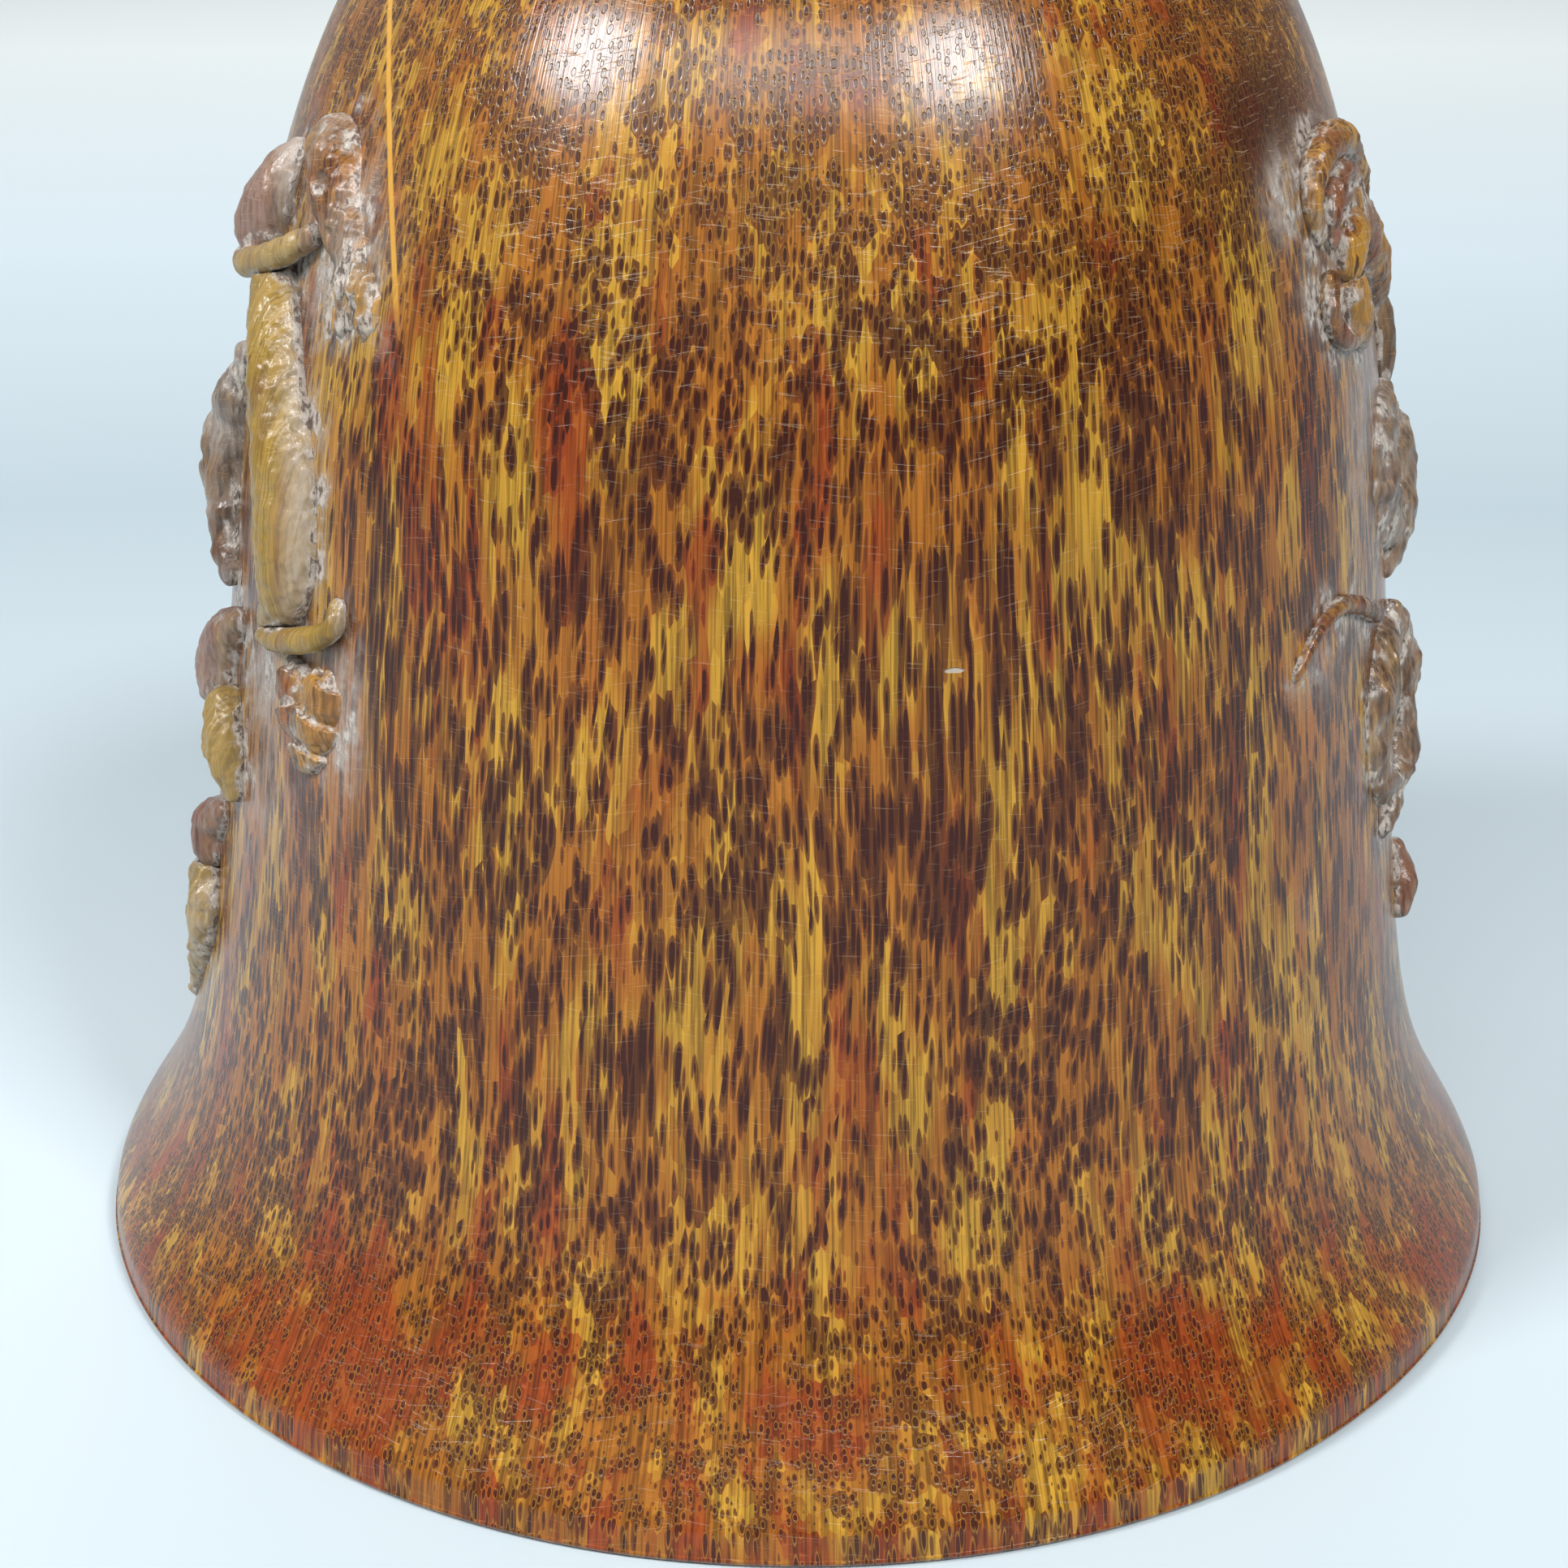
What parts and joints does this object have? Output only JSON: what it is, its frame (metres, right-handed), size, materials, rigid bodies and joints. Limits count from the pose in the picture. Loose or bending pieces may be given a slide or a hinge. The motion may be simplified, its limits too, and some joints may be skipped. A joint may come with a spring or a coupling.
{
  "type": "horn drinking cup",
  "caption": "Flared horn drinking cup with a plain polished front and carved caps, stems, rocks and cloud scrolls round its sides, standing mouth down.",
  "frame": {"origin": "centre of the mouth's plane, on the cup's axis, where the turned-over cup rests", "axes": "+Z along the cup's axis from the mouth up to the foot end, because the cup is shown turned over; -Y points to the plain polished front; -X to the side with the stems and caps; +X to the side with the cloud scrolls. For drinking the cup is turned by half a turn about X."},
  "size_m": [0.112, 0.112, 0.1],
  "materials": {
    "horn_amber": "polished, mottled amber and dark brown",
    "horn_dark": "carved, half polished, dark brown",
    "horn_red": "polished, reddish brown",
    "horn_yellow": "polished, clear amber yellow"
  },
  "bodies": {
    "root": {"horn_wall": "horn_amber", "base_disc": "horn_dark", "left_upper_cap": "horn_red", "left_knot": "horn_amber", "left_long_stem": "horn_yellow", "left_rock": "horn_dark", "left_middle_cap": "horn_red", "left_middle_column": "horn_yellow", "left_cuff": "horn_yellow", "left_bud": "horn_amber", "left_lower_cap": "horn_red", "left_lower_column": "horn_yellow", "right_scroll": "horn_amber", "right_small_scroll": "horn_amber", "right_strip": "horn_dark", "right_rock": "horn_dark", "right_ridge": "horn_amber", "right_crag": "horn_dark", "right_knob": "horn_red", "back_rock": "horn_dark", "back_stem": "horn_yellow", "back_cap": "horn_red", "back_small_cap": "horn_red", "back_small_stem": "horn_yellow", "back_scroll": "horn_amber"}
  },
  "joints": []
}
